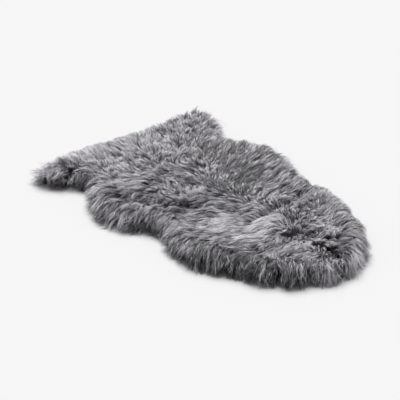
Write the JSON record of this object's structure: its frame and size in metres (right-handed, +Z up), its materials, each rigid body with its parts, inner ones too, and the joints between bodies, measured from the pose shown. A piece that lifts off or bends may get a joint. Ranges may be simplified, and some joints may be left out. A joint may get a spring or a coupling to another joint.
{
  "type": "sheepskin rug",
  "caption": "Whole sheepskin lying flat with its wool up: rounded neck, waisted flanks, two hind-leg corners and locks of wool all round the rim.",
  "frame": {"origin": "on the floor, under the middle of the rug's box", "axes": "+X along the skin towards the rounded neck, -X towards the tail and hind legs, +Y towards the skin's left side, +Z up out of the wool"},
  "size_m": [0.9452, 0.6578, 0.0594],
  "materials": {
    "wool": "dyed mid-grey long wool, matt with a soft sheen, paler at the tips and dark between the locks",
    "hide": "dyed grey suede, the flesh side of the skin"
  },
  "bodies": {
    "root": {"sheepskin": "wool"}
  },
  "joints": []
}
